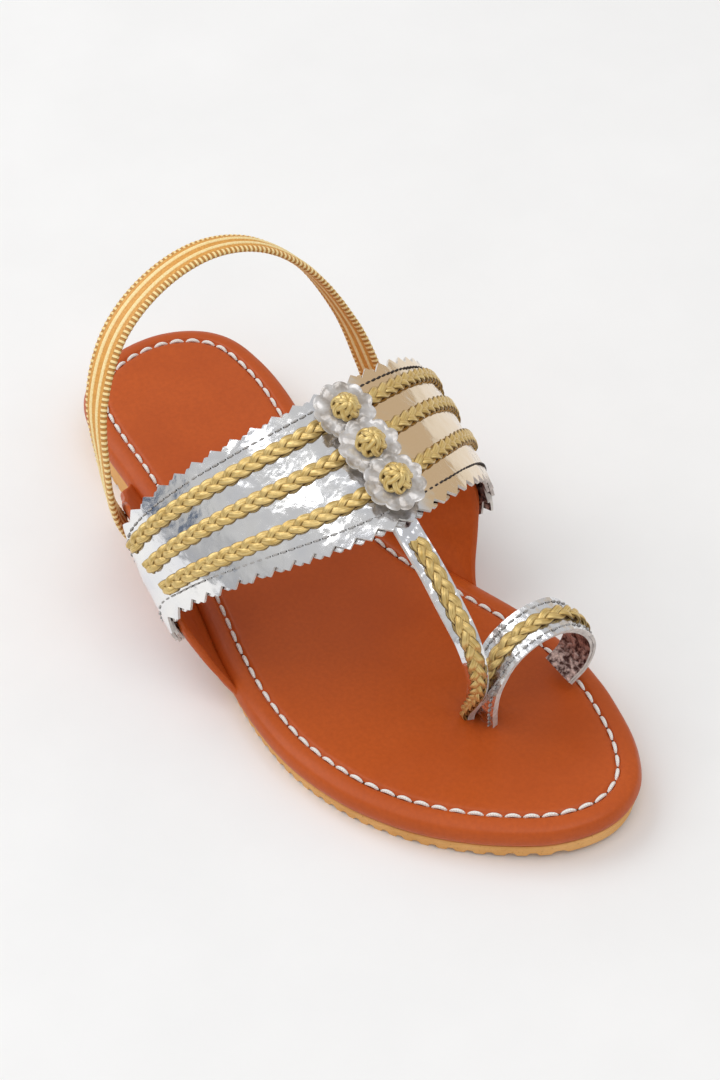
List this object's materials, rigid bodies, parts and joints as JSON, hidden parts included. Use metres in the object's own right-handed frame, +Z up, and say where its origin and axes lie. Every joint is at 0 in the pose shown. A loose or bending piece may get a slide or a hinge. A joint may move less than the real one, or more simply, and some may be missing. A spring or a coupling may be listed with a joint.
{
  "type": "kolhapuri toe-loop sandal",
  "caption": "Right kolhapuri sandal: leather footbed, metallic instep band with three braids and knotted rosettes, thong, toe loop, elastic heel strap.",
  "frame": {"origin": "on the floor, under the middle of the sandal's box", "axes": "+X from the heel to the toe, +Y to the medial side, +Z up"},
  "size_m": [0.2454, 0.112, 0.0984],
  "materials": {
    "leather": "satin rust brown faux leather",
    "outsole_rubber": "matte honey tan rubber",
    "silver_foil": "mirror silver foiled faux leather, crinkled",
    "gold_braid": "antique gold metallic plait",
    "elastic": "woven golden elastic with light satin ribs"
  },
  "bodies": {
    "root": {"outsole": "outsole_rubber", "footbed": "leather", "wing_lateral": "leather", "wing_medial": "leather", "upper": "silver_foil", "braid_rear": "gold_braid", "braid_mid": "gold_braid", "braid_front": "gold_braid", "rosette_rear": "silver_foil", "rosette_mid": "silver_foil", "rosette_front": "silver_foil", "knot_rear": "gold_braid", "knot_mid": "gold_braid", "knot_front": "gold_braid", "thong_braid": "gold_braid", "loop_braid": "gold_braid", "heel_strap": "elastic"}
  },
  "joints": []
}
